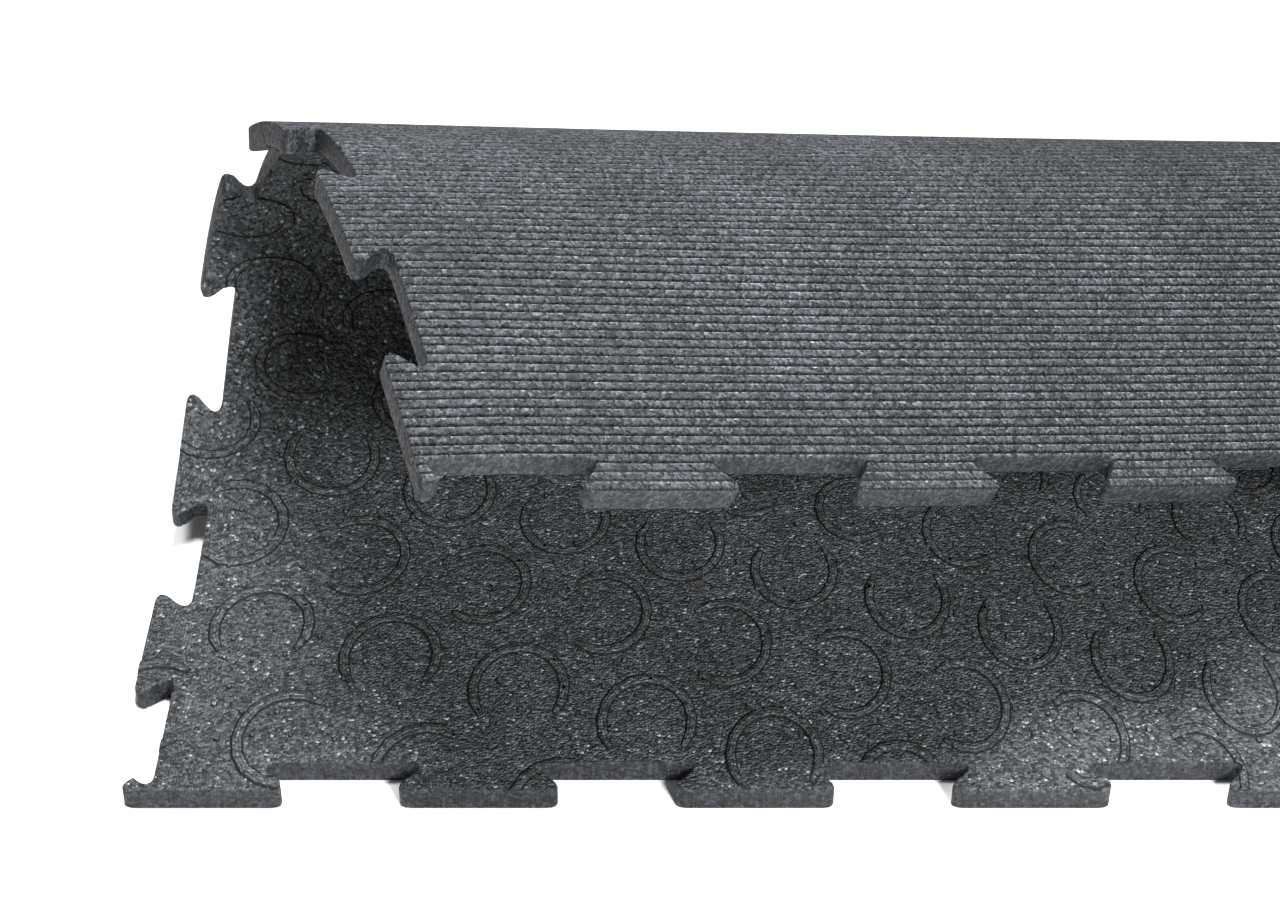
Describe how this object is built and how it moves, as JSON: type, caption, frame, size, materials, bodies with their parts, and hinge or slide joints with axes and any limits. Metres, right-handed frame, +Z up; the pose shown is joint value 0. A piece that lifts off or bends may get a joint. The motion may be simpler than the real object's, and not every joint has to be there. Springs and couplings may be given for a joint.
{
  "type": "rubber stall mat",
  "caption": "Thick rubber floor mat with dovetail interlocking edges, horseshoe-embossed tread and grooved underside, lying folded back over itself.",
  "frame": {"origin": "middle of the folded mat's footprint, on the floor", "axes": "+X along the tabbed front edge, +Y towards the back of the fold, +Z up"},
  "size_m": [1.9668, 0.9144, 0.3978],
  "materials": {
    "crumb_rubber": "matt dark grey crumb rubber with fine light specks, darker on the cut edges"
  },
  "bodies": {
    "root": {"stall_mat": "crumb_rubber"}
  },
  "joints": []
}
